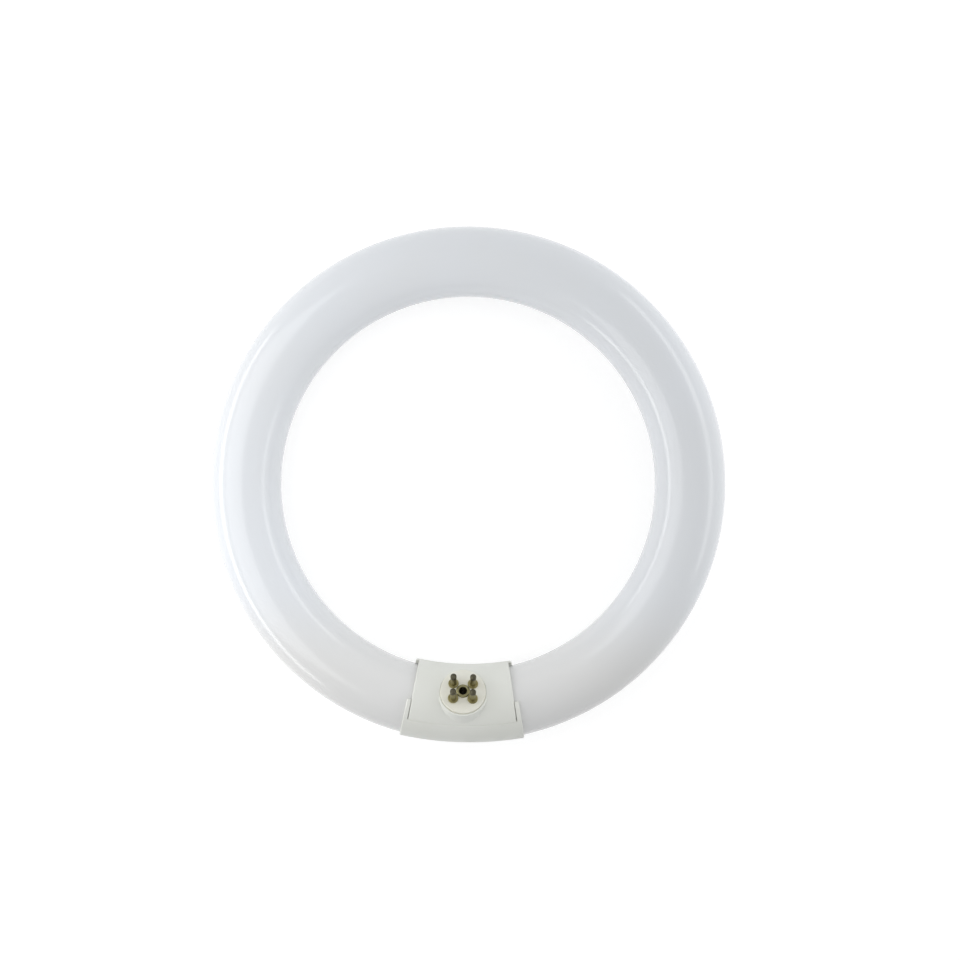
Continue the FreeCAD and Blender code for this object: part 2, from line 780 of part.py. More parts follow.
def check(document, pieces):
    """Stop if a feature failed or a sub-part is not one sound solid."""
    for item in document.Objects:
        if "Invalid" in item.State or "Error" in item.State:
            raise RuntimeError("failed feature: " + item.Label)
    for piece in pieces:
        shape = piece.Shape
        if shape.isNull() or not shape.isValid() or len(shape.Solids) != 1:
            raise RuntimeError("unsound sub-part: " + piece.Label)


def write(pieces):
    """Write one file for each sub-part."""
    os.makedirs("parts", exist_ok=True)
    for piece in pieces:
        piece.Shape.exportStep(os.path.join("parts", piece.Label + ".step"))
        box = piece.Shape.BoundBox
        print("%-18s %9.1f mm3" % (piece.Label, piece.Shape.Volume), box)


document, pieces = build()
check(document, pieces)
write(pieces)
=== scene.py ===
"""Looks of a circular fluorescent lamp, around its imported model.

A white coated glass ring is closed by a two-part plastic base. The base carries a round insulating
disc with four leaning contact pins and one clamping eyelet. Lengths are metres, in the model's frame.
"""

from __future__ import annotations

import logging
import math
from collections.abc import Callable, Sequence
from dataclasses import dataclass, field
from enum import Enum

import bpy
from mathutils import Matrix, Vector, noise

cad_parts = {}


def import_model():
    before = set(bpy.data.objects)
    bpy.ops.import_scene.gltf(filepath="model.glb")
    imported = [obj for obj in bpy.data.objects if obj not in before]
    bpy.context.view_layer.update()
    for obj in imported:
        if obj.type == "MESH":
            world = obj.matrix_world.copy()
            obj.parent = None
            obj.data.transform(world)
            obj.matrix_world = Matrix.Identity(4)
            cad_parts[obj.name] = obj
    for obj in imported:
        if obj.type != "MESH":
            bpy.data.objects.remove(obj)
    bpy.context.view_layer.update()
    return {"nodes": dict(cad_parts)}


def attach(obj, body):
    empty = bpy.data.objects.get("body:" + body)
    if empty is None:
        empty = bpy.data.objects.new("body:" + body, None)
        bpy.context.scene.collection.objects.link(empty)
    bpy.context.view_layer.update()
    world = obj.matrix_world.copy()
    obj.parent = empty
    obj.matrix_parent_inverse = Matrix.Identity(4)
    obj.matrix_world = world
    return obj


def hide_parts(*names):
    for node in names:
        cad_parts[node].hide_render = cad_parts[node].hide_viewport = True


Color = tuple[float, float, float, float]
Point = tuple[float, float]

LOG = logging.getLogger("circular_lamp")
BODY = "root"
MM = 0.001

# The base's middle is this far from the ring's, on the side of -Y, and its pins lean to the ring's middle.
BASE_CENTRE = 92.4 * MM
BASE_SIDE = (0.0, -1.0, 0.0)
LEAN = math.radians(34)
PINS_UP = (0.0, math.sin(LEAN), math.cos(LEAN))
PINS_FOOT = -BASE_CENTRE * math.sin(LEAN)


def shade(red: float, green: float, blue: float) -> Color:
    """A colour from its levels on screen, 0 to 255.

    Args:
        red: Level of red.
        green: Level of green.
        blue: Level of blue.

    Returns:
        The same colour in linear light, opaque.
    """

    def linear(level: float) -> float:
        """One level in linear light."""
        share = level / 255
        return share / 12.92 if share <= 0.04045 else ((share + 0.055) / 1.055) ** 2.4

    return (linear(red), linear(green), linear(blue), 1.0)


class Wiring:
    """Places nodes in one node tree and joins them."""

    def __init__(self, tree: bpy.types.NodeTree) -> None:
        """Work in this tree.

        Args:
            tree: The node tree of a material, a world or a group.
        """
        self.tree = tree

    def add(self, kind: str, inputs: dict | None = None, **settings: object) -> bpy.types.Node:
        """Place one node.

        Args:
            kind: The node's type.
            inputs: Its inputs by name or number, each a value or another node's output.
            settings: Its own settings.

        Returns:
            The node.
        """
        node = self.tree.nodes.new(kind)
        for name, value in settings.items():
            setattr(node, name, value)
        for name, value in (inputs or {}).items():
            if isinstance(value, bpy.types.NodeSocket):
                self.tree.links.new(value, node.inputs[name])
            else:
                node.inputs[name].default_value = value
        return node

    def sum_up(self, operation: str, *terms: object) -> bpy.types.NodeSocket:
        """The result of one sum.

        Args:
            operation: What the sum does, as its node names it.
            terms: Its numbers, each a value or an output.

        Returns:
            The output with the result.
        """
        node = self.add("ShaderNodeMath", dict(enumerate(terms)), operation=operation)
        return node.outputs[0]

    def along(self, place: bpy.types.NodeSocket, direction: Sequence[float]) -> bpy.types.NodeSocket:
        """How far a place or a direction reaches along another direction.

        Args:
            place: The output with the place.
            direction: The direction to measure along.

        Returns:
            The output with the distance.
        """
        node = self.add("ShaderNodeVectorMath", {0: place, 1: direction}, operation="DOT_PRODUCT")
        return node.outputs["Value"]

    def blend(self, share: object, first: object, second: object) -> bpy.types.NodeSocket:
        """A colour between two others.

        Args:
            share: How much of the second one, 0 to 1.
            first: One colour or output.
            second: The other colour or output.

        Returns:
            The output with the colour.
        """
        node = self.add("ShaderNodeMix", {0: share, 6: first, 7: second}, data_type="RGBA")
        return node.outputs[2]

    def stretch(
        self, value: object, low: float, high: float, start: object, end: object
    ) -> bpy.types.NodeSocket:
        """A value carried smoothly from one range to another.

        Args:
            value: The value.
            low: Where its range starts.
            high: Where its range ends.
            start: The result at low.
            end: The result at high.

        Returns:
            The output with the result.
        """
        inputs = {"Value": value, "From Min": low, "From Max": high, "To Min": start, "To Max": end}
        node = self.add("ShaderNodeMapRange", inputs, interpolation_type="SMOOTHSTEP")
        return node.outputs["Result"]

    def patches(self, scale: object, detail: float) -> bpy.types.NodeSocket:
        """Irregular patches fixed to the piece.

        Args:
            scale: Patches to the metre, a value or an output.
            detail: How fine their edges are.

        Returns:
            The output with their height, about 0.3 to 0.7.
        """
        place = self.add("ShaderNodeNewGeometry").outputs["Position"]
        return self.add("ShaderNodeTexNoise", {"Vector": place, "Scale": scale, "Detail": detail}).outputs[0]


class Effect(Enum):
    """Surface effects that several finishes share."""

    TONE = "tone_drift"
    GLOSS = "handled_gloss"
    RELIEF = "surface_relief"
    PAINTED_SHADE = "painted_crevice_shade"


class Effects:
    """The shared effects, each one group of nodes that is built once."""

    CLOUDS = (0.35, 0.65)
    SMEARS = (0.42, 0.68)
    NARROW_TO_OPEN = (0.35, 0.95)
    CLOUD_DETAIL = 3.0
    SMEAR_DETAIL = 5.0
    GRAIN_DETAIL = 2.0
    SKY_SAMPLES = 4
    SOCKETS = {
        Effect.TONE: (
            {"Plain": "Color", "Drift": "Color", "Scale": "Float", "Share": "Float"},
            {"Color": "Color"},
        ),
        Effect.GLOSS: (
            {"Clean": "Float", "Smudged": "Float", "Scale": "Float"},
            {"Roughness": "Float"},
        ),
        Effect.RELIEF: (
            {"Grain Scale": "Float", "Ripple Scale": "Float", "Grain Share": "Float"},
            {"Height": "Float"},
        ),
        Effect.PAINTED_SHADE: (
            {"Surface": "Color", "Painted Shade": "Color", "Reach": "Float", "Share": "Float"},
            {"Color": "Color"},
        ),
    }

    @classmethod
    def group(cls, effect: Effect) -> bpy.types.NodeTree:
        """The group of an effect, built when it is first asked for.

        Args:
            effect: Which effect.

        Returns:
            Its node group.
        """
        found = bpy.data.node_groups.get(effect.value)
        if found:
            return found
        tree = bpy.data.node_groups.new(effect.value, "ShaderNodeTree")
        taken, given = cls.SOCKETS[effect]
        for side, sockets in (("INPUT", taken), ("OUTPUT", given)):
            for name, kind in sockets.items():
                tree.interface.new_socket(name=name, in_out=side, socket_type="NodeSocket" + kind)
        wiring = Wiring(tree)
        source = wiring.add("NodeGroupInput").outputs
        result = getattr(cls, effect.value)(wiring, source)
        wiring.add("NodeGroupOutput", {0: result})
        return tree

    @staticmethod
    def tone_drift(wiring: Wiring, source: bpy.types.NodeOutputs) -> bpy.types.NodeSocket:
        """Soft patches of a second tone.

        Args:
            wiring: Where the nodes go.
            source: The group's inputs.

        Returns:
            The output with the colour.
        """
        patches = wiring.patches(source["Scale"], Effects.CLOUD_DETAIL)
        cloud = wiring.stretch(patches, *Effects.CLOUDS, 0.0, source["Share"])
        return wiring.blend(cloud, source["Plain"], source["Drift"])

    @staticmethod
    def handled_gloss(wiring: Wiring, source: bpy.types.NodeOutputs) -> bpy.types.NodeSocket:
        """Gloss that handling has dulled here and there.

        Args:
            wiring: Where the nodes go.
            source: The group's inputs.

        Returns:
            The output with the roughness.
        """
        smear = wiring.patches(source["Scale"], Effects.SMEAR_DETAIL)
        return wiring.stretch(smear, *Effects.SMEARS, source["Clean"], source["Smudged"])

    @staticmethod
    def surface_relief(wiring: Wiring, source: bpy.types.NodeOutputs) -> bpy.types.NodeSocket:
        """Slow ripples with a fine grain on them.

        Args:
            wiring: Where the nodes go.
            source: The group's inputs.

        Returns:
            The output with the height.
        """
        fine = wiring.patches(source["Grain Scale"], Effects.GRAIN_DETAIL)
        grain = wiring.sum_up("MULTIPLY", fine, source["Grain Share"])
        calm = wiring.sum_up("SUBTRACT", 1.0, source["Grain Share"])
        ripple = wiring.sum_up("MULTIPLY", wiring.patches(source["Ripple Scale"], 0.0), calm)
        return wiring.sum_up("ADD", grain, ripple)

    @staticmethod
    def painted_crevice_shade(wiring: Wiring, source: bpy.types.NodeOutputs) -> bpy.types.NodeSocket:
        """Painted shade: a second colour, mostly darker, painted in narrow places that ambient occlusion
        finds.

        Args:
            wiring: Where the nodes go.
            source: The group's inputs.

        Returns:
            The output with the colour.
        """
        reach = {"Distance": source["Reach"]}
        # Ambient occlusion finds the narrow places where shade falls; the colour painted there is painted
        # shade.
        open_sky = wiring.add("ShaderNodeAmbientOcclusion", reach, samples=Effects.SKY_SAMPLES)
        depth = wiring.stretch(open_sky.outputs["AO"], *Effects.NARROW_TO_OPEN, source["Share"], 0.0)
        return wiring.blend(depth, source["Surface"], source["Painted Shade"])


@dataclass(frozen=True)
class Finish:
    """A hard surface: how its tone drifts, where shade is painted into its narrow places, how glossy it is
    and what relief it has.
    """

    name: str
    plain: Color
    drift: Color
    # Colour of the shade painted in narrow places, with its reach and share below.
    painted_shade: Color = (0.0, 0.0, 0.0, 1.0)
    drift_size: float = 20 * MM
    drift_share: float = 0.5
    painted_shade_reach: float = 1.0 * MM
    painted_shade_share: float = 0.3
    clean: float = 0.3
    smudged: float = 0.4
    smudge_size: float = 12 * MM
    grain_size: float = 0.4 * MM
    ripple_size: float = 9 * MM
    grain_share: float = 0.3
    relief: float = 0.02 * MM
    metallic: float = 0.0
    ior: float = 1.5
    coat: float = 0.0
    coat_roughness: float = 0.05

    def tone(self, wiring: Wiring, color: bpy.types.NodeSocket) -> bpy.types.NodeSocket:
        """The colour with what is special to this finish."""
        return color

    def effect(self, wiring: Wiring, effect: Effect, inputs: dict) -> bpy.types.NodeSocket:
        """Place a shared effect with this finish's values.

        Args:
            wiring: Where the nodes go.
            effect: Which effect.
            inputs: Its inputs by name.

        Returns:
            Its output.
        """
        node = wiring.add("ShaderNodeGroup", None, node_tree=Effects.group(effect))
        for name, value in inputs.items():
            if isinstance(value, bpy.types.NodeSocket):
                wiring.tree.links.new(value, node.inputs[name])
            else:
                node.inputs[name].default_value = value
        return node.outputs[0]

    def material(self) -> bpy.types.Material:
        """The finish as a material, built when it is first asked for.

        Returns:
            The material.
        """
        found = bpy.data.materials.get(self.name)
        if found:
            return found
        material = bpy.data.materials.new(self.name)
        material.use_nodes = True
        material.diffuse_color = self.plain
        material.node_tree.nodes.clear()
        wiring = Wiring(material.node_tree)
        drift = {
            "Plain": self.plain,
            "Drift": self.drift,
            "Scale": 1 / self.drift_size,
            "Share": self.drift_share,
        }
        color = self.tone(wiring, self.effect(wiring, Effect.TONE, drift))
        # Painted shade: the colour is darkened or tinted where ambient occlusion finds narrow places.
        if self.painted_shade_share > 0:
            painted_shade = {
                "Surface": color,
                "Painted Shade": self.painted_shade,
                "Reach": self.painted_shade_reach,
                "Share": self.painted_shade_share,
            }
            color = self.effect(wiring, Effect.PAINTED_SHADE, painted_shade)
        gloss = {"Clean": self.clean, "Smudged": self.smudged, "Scale": 1 / self.smudge_size}
        relief = {
            "Grain Scale": 1 / self.grain_size,
            "Ripple Scale": 1 / self.ripple_size,
            "Grain Share": self.grain_share,
        }
        height = self.effect(wiring, Effect.RELIEF, relief)
        bump = wiring.add("ShaderNodeBump", {"Height": height, "Distance": self.relief, "Strength": 1.0})
        surface = wiring.add(
            "ShaderNodeBsdfPrincipled",
            {
                "Base Color": color,
                "Roughness": self.effect(wiring, Effect.GLOSS, gloss),
                "Normal": bump.outputs["Normal"],
                "Metallic": self.metallic,
                "IOR": self.ior,
                "Coat Weight": self.coat,
                "Coat Roughness": self.coat_roughness,
            },
        )
        wiring.add("ShaderNodeOutputMaterial", {"Surface": surface.outputs[0]})
        return material

    def dress(self, *pieces: bpy.types.Object) -> None:
        """Give this finish to some pieces.

        Args:
            pieces: The objects to dress.
        """
        for piece in pieces:
            piece.data.materials.clear()
            piece.data.materials.append(self.material())


@dataclass(frozen=True)
class CoatedGlass(Finish):
    """White coated glass whose tone turns neutral towards the base side of the ring."""

    end_tone: Color = shade(216, 216, 215)
    end_starts: float = 40 * MM
    end_full: float = 80 * MM

    def tone(self, wiring: Wiring, color: bpy.types.NodeSocket) -> bpy.types.NodeSocket:
        """The cool white with the ends' neutral white, from the ring's middle towards the base.

        Args:
            wiring: Where the nodes go.
            color: The cool white.

        Returns:
            The output with the colour.
        """
        place = wiring.add("ShaderNodeTexCoord").outputs["Object"]
        reach = wiring.along(place, BASE_SIDE)
        mask = wiring.stretch(reach, self.end_starts, self.end_full, 0.0, 1.0)
        return wiring.blend(mask, color, self.end_tone)


@dataclass(frozen=True)
class TinnedBrass(Finish):
    """Brass of the pins, whose tips took solder when the wires were soldered in."""

    tin: Color = shade(84, 80, 62)
    tin_start: float = 22.7 * MM + PINS_FOOT
    tin_end: float = 23.7 * MM + PINS_FOOT
    edge_size: float = 0.9 * MM
    edge_waver: float = 1.2 * MM
    edge_detail: float = 2.0

    def tone(self, wiring: Wiring, color: bpy.types.NodeSocket) -> bpy.types.NodeSocket:
        """The brass with solder grey towards its tip, along the pins' own direction.

        Args:
            wiring: Where the nodes go.
            color: The brass.

        Returns:
            The output with the colour.
        """
        place = wiring.add("ShaderNodeTexCoord").outputs["Object"]
        height = wiring.along(place, PINS_UP)
        waver = wiring.patches(1 / self.edge_size, self.edge_detail)
        edge = wiring.sum_up("MULTIPLY", waver, self.edge_waver)
        mask = wiring.stretch(wiring.sum_up("ADD", height, edge), self.tin_start, self.tin_end, 0.0, 1.0)
        return wiring.blend(mask, color, self.tin)


class Finishes:
    """The lamp's finishes."""

    GLASS = CoatedGlass(
        "coated_glass",
        plain=shade(219, 222, 226),
        drift=shade(218, 220, 222),
        drift_size=60 * MM,
        painted_shade_share=0.0,
        clean=0.17,
        smudged=0.24,
        smudge_size=30 * MM,
        grain_size=0.8 * MM,
        ripple_size=16 * MM,
        grain_share=0.02,
        relief=0.12 * MM,
        coat=0.15,
        coat_roughness=0.1,
    )
    PLASTIC = Finish(
        "moulded_plastic",
        plain=shade(218, 219, 213),
        drift=shade(214, 215, 208),
        # Painted shade in the shells' gaps and joints, kept pale.
        painted_shade=shade(202, 202, 192),
        drift_size=18 * MM,
        painted_shade_reach=0.8 * MM,
        painted_shade_share=0.4,
        clean=0.34,
        smudged=0.46,
        smudge_size=9 * MM,
        grain_size=0.35 * MM,
        ripple_size=7 * MM,
        grain_share=0.12,
        relief=0.05 * MM,
    )
    DISC = Finish(
        "insulating_disc",
        plain=shade(222, 221, 211),
        drift=shade(219, 217, 203),
        # Painted shade in pale yellow: where the pins crowd the disc, its colour turns yellow instead of
        # darker.
        painted_shade=shade(224, 220, 176),
        drift_size=4 * MM,
        painted_shade_reach=1.4 * MM,
        painted_shade_share=0.6,
        clean=0.5,
        smudged=0.62,
        smudge_size=3 * MM,
        grain_size=0.22 * MM,
        ripple_size=3 * MM,
        grain_share=0.4,
        relief=0.03 * MM,
    )
    PIN = TinnedBrass(
        "aged_brass",
        plain=shade(138, 131, 92),
        drift=shade(116, 108, 70),
        # Painted shade in the pins' corners, under the collars and in the bores.
        painted_shade=shade(58, 50, 27),
        drift_size=1.2 * MM,
        painted_shade_reach=0.9 * MM,
        painted_shade_share=0.8,
        clean=0.3,
        smudged=0.46,
        smudge_size=1.4 * MM,
        grain_size=0.08 * MM,
        ripple_size=1.5 * MM,
        grain_share=0.5,
        relief=0.012 * MM,
        metallic=1.0,
    )
    SOLDER = Finish(
        "dull_solder",
        plain=shade(80, 77, 64),
        drift=shade(62, 59, 46),
        # Painted shade in the solder's narrow places, at the default share.
        painted_shade=shade(40, 38, 34),
        drift_size=0.8 * MM,
        clean=0.42,
        smudged=0.6,
        smudge_size=0.7 * MM,
        grain_size=0.1 * MM,
        ripple_size=0.8 * MM,
        grain_share=0.4,
        relief=0.02 * MM,
        metallic=0.9,
    )
    EYELET = Finish(
        "dulled_brass",
        plain=shade(134, 130, 98),
        drift=shade(112, 107, 74),
        # Painted shade in the eyelet's bore and under its rim.
        painted_shade=shade(82, 68, 34),
        drift_size=1.5 * MM,
        painted_shade_reach=1.0 * MM,
        painted_shade_share=0.9,
        clean=0.4,
        smudged=0.55,
        smudge_size=1.2 * MM,
        grain_size=0.09 * MM,
        ripple_size=1.2 * MM,
        grain_share=0.4,
        relief=0.014 * MM,
        metallic=1.0,
    )
    WIRE = Finish(
        "drawn_wire",
        plain=shade(150, 146, 138),
        drift=shade(130, 122, 110),
        # Painted shade where the wires run close to other parts, at the default share.
        painted_shade=shade(70, 66, 58),
        drift_size=2 * MM,
        clean=0.35,
        smudged=0.5,
        smudge_size=1 * MM,
        grain_size=0.06 * MM,
        ripple_size=1 * MM,
        relief=0.006 * MM,
        metallic=1.0,
    )


@dataclass(frozen=True)
class Corner:
    """A corner of a turned profile: distance from the axis, height, and rounding."""

    reach: float
    height: float
    rounding: float = 0.0


@dataclass
class TurnedProfile:
    """A profile that is revolved about its own upright axis."""

    corners: Sequence[Corner]
    sides: int = 64
    steps: int = 5
    crease: float = math.radians(35)

    def rounded(self) -> list[Point]:
        """The profile's points, with each rounded corner as a short arc.

        Returns:
            Distance from the axis and height of each point, in order.
        """
        points: list[Point] = []
        for index, corner in enumerate(self.corners):
            here = Vector((corner.reach, corner.height))
            before, after = (
                Vector((near.reach, near.height)) - here
                for near in (self.corners[index - 1], self.corners[(index + 1) % len(self.corners)])
            )
            if corner.rounding <= 0:
                points.append(tuple(here))
                continue
            run = corner.rounding / math.tan(before.angle(after) / 2)
            start, end = here + before.normalized() * run, here + after.normalized() * run
            for step in range(self.steps + 1):
                share = step / self.steps
                first, second = start.lerp(here, share), here.lerp(end, share)
                points.append(tuple(first.lerp(second, share)))
        return points

    def mesh(self, name: str, shift: Callable[[Vector], Vector] | None = None) -> bpy.types.Mesh:
        """Revolve the profile into a closed mesh.

        Args:
            name: The mesh's name.
            shift: Moves each point a little, where the real surface is uneven.

        Returns:
            The mesh.
        """
        points = self.rounded()
        on_axis = [abs(reach) < 1e-9 for reach, _ in points]
        rings: list[list[int]] = []
        places: list[Vector] = []
        for (reach, height), single in zip(points, on_axis):
            turns = [0.0] if single else [2 * math.pi * side / self.sides for side in range(self.sides)]
            rings.append(list(range(len(places), len(places) + len(turns))))
            places += [Vector((reach * math.cos(turn), reach * math.sin(turn), height)) for turn in turns]
        faces: list[tuple[int, ...]] = []
        for index, lower in enumerate(rings):
            upper = rings[(index + 1) % len(rings)]
            if len(lower) == 1 and len(upper) == 1:
                continue
            for side in range(self.sides):
                after = (side + 1) % self.sides
                if len(lower) == 1:
                    faces.append((lower[0], upper[after], upper[side]))
                elif len(upper) == 1:
                    faces.append((lower[side], lower[after], upper[0]))
                else:
                    faces.append((lower[side], lower[after], upper[after], upper[side]))
        mesh = bpy.data.meshes.new(name)
        moved = [shift(place) if shift else place for place in places]
        mesh.from_pydata([tuple(place) for place in moved], [], faces)
        mesh.validate()
        mesh.shade_smooth()
        mesh.set_sharp_from_angle(angle=self.crease)
        return mesh


def new_piece(name: str, mesh: bpy.types.Mesh, place: Matrix, finish: Finish) -> bpy.types.Object:
    """Stand a new piece in the scene, on the lamp's one body.

    Args:
        name: The piece's name.
        mesh: Its mesh.
        place: Where it stands.
        finish: What it is dressed in.

    Returns:
        The piece.
    """
    mesh.transform(place)
    piece = bpy.data.objects.new(name, mesh)
    bpy.context.scene.collection.objects.link(piece)
    finish.dress(piece)
    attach(piece, BODY)
    return piece


@dataclass
class PinPattern:
    """Where the contact pins stand: four corners around an axis that leans to the ring's middle."""

    lean: float = LEAN
    base_centre: float = BASE_CENTRE
    offset: float = 1.7 * MM
    along: float = 3.96 * MM
    across: float = 3.175 * MM

    def place(self, along: float, across: float) -> Matrix:
        """The place of an upright piece in the pattern.

        Args:
            along: Its distance along the tube from the pattern's middle.
            across: Its distance towards the ring's middle.

        Returns:
            Its place, with height measured from the base's middle line.
        """
        outwards = self.offset - across
        y = -self.base_centre - outwards * math.cos(self.lean)
        z = outwards * math.sin(self.lean)
        return Matrix.Translation((along, y, z)) @ Matrix.Rotation(-self.lean, 4, "X")

    def pins(self) -> list[Matrix]:
        """The places of the four pins, in the order of the model's names."""
        return [
            self.place(along, across)
            for across in (self.across, -self.across)
            for along in (-self.along, self.along)
        ]


@dataclass
class GlassRing:
    """The glass tube, bent to a ring and coated white inside."""

    nodes: dict[str, bpy.types.Object]
    finish: Finish = Finishes.GLASS

    def build(self) -> list[bpy.types.Object]:
        """Dress the ring.

        Returns:
            The dressed pieces.
        """
        piece = self.nodes["glass_tube"]
        self.finish.dress(piece)
        return [piece]


@dataclass
class Base:
    """The two plastic shells and the disc between the pins and them."""

    nodes: dict[str, bpy.types.Object]
    shell_finish: Finish = Finishes.PLASTIC
    disc_finish: Finish = Finishes.DISC

    def build(self) -> list[bpy.types.Object]:
        """Dress both shells and the disc.

        Returns:
            The dressed pieces.
        """
        shells = [self.nodes["base_front_shell"], self.nodes["base_rear_shell"]]
        self.shell_finish.dress(*shells)
        disc = self.nodes["pin_carrier"]
        self.disc_finish.dress(disc)
        return [*shells, disc]


@dataclass
class ContactPins:
    """Four hollow brass pins, each closed by solder that also wets the outside of its tip."""

    pattern: PinPattern
    radius: float = 1.2 * MM
    bore: float = 0.75 * MM
    collar_radius: float = 2.1 * MM
    collar_height: float = 0.5 * MM
    tail_radius: float = 1.8 * MM
    tail_height: float = 0.4 * MM
    tail_level: float = 12.4 * MM
    face_level: float = 16.7 * MM
    tip_level: float = 24.3 * MM
    tail_rounding: float = 0.12 * MM
    tail_edge: float = 0.08 * MM
    seat_rounding: float = 0.1 * MM
    collar_rounding: float = 0.18 * MM
    collar_fillet: float = 0.16 * MM
    tip_rounding: float = 0.25 * MM
    bore_rounding: float = 0.1 * MM
    solder_depth: float = 1.8 * MM
    solder_skirt: float = 1.35 * MM
    solder_swell: float = 0.05 * MM
    skirt_thin: float = 0.02 * MM
    skirt_lip: float = 0.1 * MM
    skirt_run: float = 0.45 * MM
    shoulder_drop: float = 0.12 * MM
    shoulder_rounding: float = 0.4 * MM
    crown_radius: float = 0.5 * MM
    crown_rise: float = 0.38 * MM
    crown_rounding: float = 0.3 * MM
    solder_dome: float = 0.46 * MM
    solder_steps: int = 7
    wave_pace: float = 1.1
    skirt_wave: float = 0.55 * MM
    skirt_reach: float = 0.6 * MM
    dome_wave: float = 0.16 * MM
    dome_reach: float = 0.1 * MM
    skin_play: float = 0.01 * MM

    def sleeve(self) -> TurnedProfile:
        """The profile of a pin's brass sleeve.

        Returns:
            The profile, from the bore's lower edge outwards and up.
        """
        low = self.tail_level - self.tail_height
        top = self.face_level + self.collar_height
        return TurnedProfile(
            [
                Corner(self.bore, low),
                Corner(self.tail_radius, low, self.tail_rounding),
                Corner(self.tail_radius, self.tail_level, self.tail_edge),
                Corner(self.radius, self.tail_level),
                Corner(self.radius, self.face_level),
                Corner(self.collar_radius, self.face_level, self.seat_rounding),
                Corner(self.collar_radius, top, self.collar_rounding),
                Corner(self.radius, top, self.collar_fillet),
                Corner(self.radius, self.tip_level, self.tip_rounding),
                Corner(self.bore, self.tip_level, self.bore_rounding),
            ]
        )

    def solder(self) -> TurnedProfile:
        """The profile of the solder in and on a pin's tip.

        Returns:
            The profile, from the axis inside the bore, over the rim and back over the top.
        """
        tip, skin = self.tip_level, self.radius + self.solder_swell
        skirt = tip - self.solder_skirt
        return TurnedProfile(
            [
                Corner(0.0, tip - self.solder_depth),
                Corner(self.bore, tip - self.solder_depth),
                Corner(self.bore, tip - self.tip_rounding),
                Corner(self.radius, tip - self.tip_rounding),
                Corner(self.radius, skirt),
                Corner(skin - self.skirt_thin, skirt + self.skirt_lip),
                Corner(skin, skirt + self.skirt_run),
                Corner(skin, tip - self.shoulder_drop, self.shoulder_rounding),
                Corner(self.crown_radius, tip + self.crown_rise, self.crown_rounding),
                Corner(0.0, tip + self.solder_dome),
            ],
            steps=self.solder_steps,
        )

    def uneven(self, seed: float) -> Callable[[Vector], Vector]:
        """How one pin's solder departs from a turned shape.

        Args:
            seed: Makes each pin's solder its own.

        Returns:
            A function that moves a point of the solder.
        """

        def shift(place: Vector) -> Vector:
            """Move a point of the solder's skin along the pin."""
            reach = math.hypot(place.x, place.y)
            around = Vector((place.x, place.y, 0)).normalized() if reach > 0 else Vector()
            wave = noise.noise(around * self.wave_pace + Vector((seed, 0, 0)))
            on_skin = reach > self.radius - self.skin_play
            if on_skin and place.z < self.tip_level - self.skirt_reach:
                return place + Vector((0, 0, wave * self.skirt_wave))
            if place.z > self.tip_level - self.dome_reach:
                return place - Vector((0, 0, abs(wave) * self.dome_wave))
            return place

        return shift

    def build(self) -> list[bpy.types.Object]:
        """Make the four sleeves and their solder in place of the plain solids.

        Returns:
            The new pieces.
        """
        made = []
        for index, place in enumerate(self.pattern.pins(), start=1):
            sleeve = new_piece(f"pin_sleeve_{index}", self.sleeve().mesh("pin_sleeve"), place, Finishes.PIN)
            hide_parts(f"contact_pin_{index}")
            skin = self.solder().mesh("pin_solder", self.uneven(2.7 * index))
            cap = new_piece(f"pin_solder_{index}", skin, place, Finishes.SOLDER)
            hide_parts(f"solder_tip_{index}")
            made += [sleeve, cap]
        return made


@dataclass
class InnerMetal:
    """The clamping eyelet and the four lead wires inside the base."""

    nodes: dict[str, bpy.types.Object]

    def build(self) -> list[bpy.types.Object]:
        """Dress the eyelet and the wires.

        Returns:
            The dressed pieces.
        """
        eyelet = self.nodes["clamp_eyelet"]
        Finishes.EYELET.dress(eyelet)
        wires = [self.nodes[f"lead_wire_{index}"] for index in range(1, 5)]
        Finishes.WIRE.dress(*wires)
        return [eyelet, *wires]


@dataclass(frozen=True)
class SoftBox:
    """An oblong soft light that faces the lamp."""

    name: str
    place: tuple[float, float, float]
    width: float
    height: float
    brightness: float

    def build(self) -> None:
        """Hang the light."""
        light = bpy.data.lights.new(self.name, "AREA")
        light.shape = "RECTANGLE"
        light.size, light.size_y = self.width, self.height
        light.energy = self.brightness * math.pi * self.width * self.height
        holder = bpy.data.objects.new(self.name, light)
        holder.location = self.place
        holder.rotation_euler = Vector(self.place).to_track_quat("Z", "Y").to_euler()
        bpy.context.scene.collection.objects.link(holder)


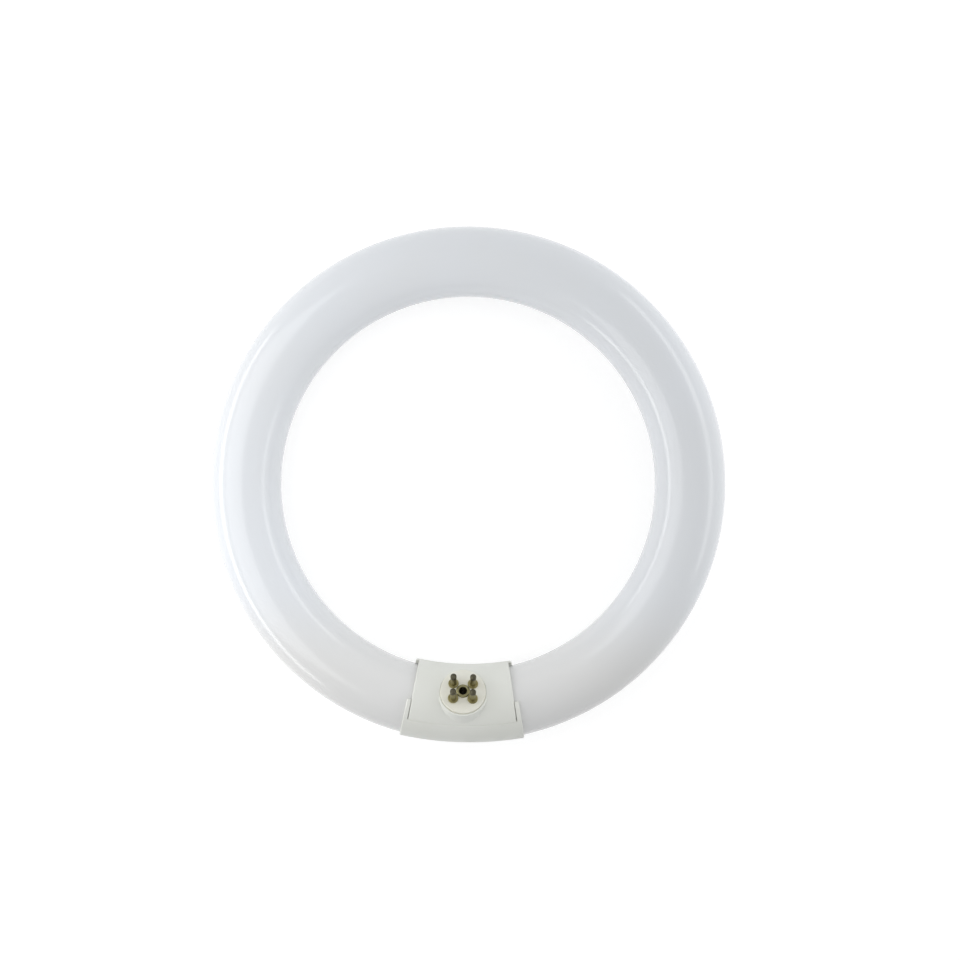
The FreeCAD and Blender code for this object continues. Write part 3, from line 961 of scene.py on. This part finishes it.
@dataclass
class Studio:
    """The floor, the lights, the pale surroundings and the camera."""

    camera_height: float = 0.42
    lens: float = 37.35
    shift: tuple[float, float] = (0.0124, 0.00375)
    roll: float = math.radians(1.4)
    clip_start: float = 0.01
    floor_span: float = 6.0
    floor_albedo: float = 0.88
    floor_glow: float = 0.7
    floor_shown: float = 0.45
    dim_side: tuple[float, float, float] = (0.25, -0.97, 0.0)
    dim_from: float = 82 * MM
    dim_to: float = 110 * MM
    dim_albedo: float = 0.3
    sky: Color = (0.99, 1.0, 1.01, 1.0)
    sky_level: float = 1.05
    sky_slope: tuple[float, float, float] = (0.42, 0.2, -0.72)
    ring_rest: tuple[float, float] = (93.5 * MM, -14.5 * MM)
    base_rest: tuple[float, float] = (-92.4 * MM, -16.2 * MM)
    lights: list[SoftBox] = field(
        default_factory=lambda: [
            SoftBox("window_left", (-0.62, -0.1, 0.12), 1.3, 0.13, 3.7),
            SoftBox("panel_left", (-0.2, -0.01, 0.22), 0.42, 0.24, 1.4),
            SoftBox("panel_right", (0.47, 0.14, 0.24), 0.72, 0.12, 1.9),
        ]
    )

    @staticmethod
    def seen(wiring: Wiring) -> bpy.types.NodeSocket:
        """Where the background shows as plain white.

        Args:
            wiring: Where the nodes go.

        Returns:
            The output that is 1 for what the camera sees, also in gloss and through glass.
        """
        path = wiring.add("ShaderNodeLightPath").outputs
        mirrored = wiring.sum_up("MAXIMUM", path["Is Glossy Ray"], path["Is Transmission Ray"])
        return wiring.sum_up("MAXIMUM", path["Is Camera Ray"], mirrored)

    def floor(self) -> bpy.types.Object:
        """A plain pale floor under the lamp, at the slight angle at which the lamp rests on it.

        It gives back less light on one side, beyond the base, where the lamp's edge is dark.

        Returns:
            The floor.
        """
        half = self.floor_span / 2
        (far, far_height), (near, near_height) = self.ring_rest, self.base_rest
        slope = (far_height - near_height) / (far - near)

        def level(y: float) -> float:
            """The floor's height at y."""
            return near_height + (y - near) * slope

        corners = [(x, y, level(y)) for x, y in ((-half, -half), (half, -half), (half, half), (-half, half))]
        mesh = bpy.data.meshes.new("floor")
        mesh.from_pydata(corners, [], [(0, 1, 2, 3)])
        floor = bpy.data.objects.new("floor", mesh)
        bpy.context.scene.collection.objects.link(floor)
        material = bpy.data.materials.new("floor_paper")
        material.use_nodes = True
        material.node_tree.nodes.clear()
        wiring = Wiring(material.node_tree)
        aside = wiring.along(wiring.add("ShaderNodeNewGeometry").outputs["Position"], self.dim_side)
        albedo = wiring.stretch(aside, self.dim_from, self.dim_to, self.floor_albedo, self.dim_albedo)
        plain = wiring.add("ShaderNodeBsdfDiffuse", {"Color": albedo})
        shown = wiring.add("ShaderNodeBsdfDiffuse", {"Color": (self.floor_shown,) * 3 + (1.0,)})
        glow = wiring.add("ShaderNodeEmission", {"Strength": self.floor_glow})
        bright = wiring.add("ShaderNodeAddShader", {0: shown.outputs[0], 1: glow.outputs[0]})
        mixed = wiring.add(
            "ShaderNodeMixShader", {0: self.seen(wiring), 1: plain.outputs[0], 2: bright.outputs[0]}
        )
        wiring.add("ShaderNodeOutputMaterial", {"Surface": mixed.outputs[0]})
        mesh.materials.append(material)
        return floor

    def surroundings(self) -> None:
        """Pale light from all sides, strongest low down and away from the base, and shown as white."""
        world = bpy.data.worlds.new("surroundings")
        bpy.context.scene.world = world
        world.use_nodes = True
        world.node_tree.nodes.clear()
        wiring = Wiring(world.node_tree)
        direction = wiring.add("ShaderNodeTexCoord").outputs["Generated"]
        level = wiring.sum_up("ADD", wiring.along(direction, self.sky_slope), self.sky_level)
        sky = wiring.add("ShaderNodeBackground", {"Color": self.sky, "Strength": level})
        plain = wiring.add("ShaderNodeBackground", {"Color": (1.0, 1.0, 1.0, 1.0)})
        mixed = wiring.add(
            "ShaderNodeMixShader", {0: self.seen(wiring), 1: sky.outputs[0], 2: plain.outputs[0]}
        )
        wiring.add("ShaderNodeOutputWorld", {"Surface": mixed.outputs[0]})

    def camera(self) -> None:
        """The camera, straight above the ring, slightly turned and shifted."""
        data = bpy.data.cameras.new("camera")
        data.lens = self.lens
        data.shift_x, data.shift_y = self.shift
        data.clip_start = self.clip_start
        camera = bpy.data.objects.new("camera", data)
        camera.location = (0, 0, self.camera_height)
        camera.rotation_euler = (0, 0, self.roll)
        bpy.context.scene.collection.objects.link(camera)
        bpy.context.scene.camera = camera

    def build(self) -> list[bpy.types.Object]:
        """Set up the studio.

        Returns:
            The floor.
        """
        bpy.context.scene.view_settings.view_transform = "Standard"
        self.surroundings()
        for light in self.lights:
            light.build()
        self.camera()
        return [self.floor()]


def main() -> None:
    """Load the model, set up the studio and build each sub-assembly in turn."""
    logging.basicConfig(level=logging.INFO, format="%(name)s: %(message)s")
    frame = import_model()
    nodes = frame["nodes"]
    pattern = PinPattern()
    for part in (Studio(), GlassRing(nodes), Base(nodes), ContactPins(pattern), InnerMetal(nodes)):
        for piece in part.build():
            LOG.info("%s: %s, %d faces", type(part).__name__, piece.name, len(piece.data.polygons))


if __name__ == "__main__":
    main()
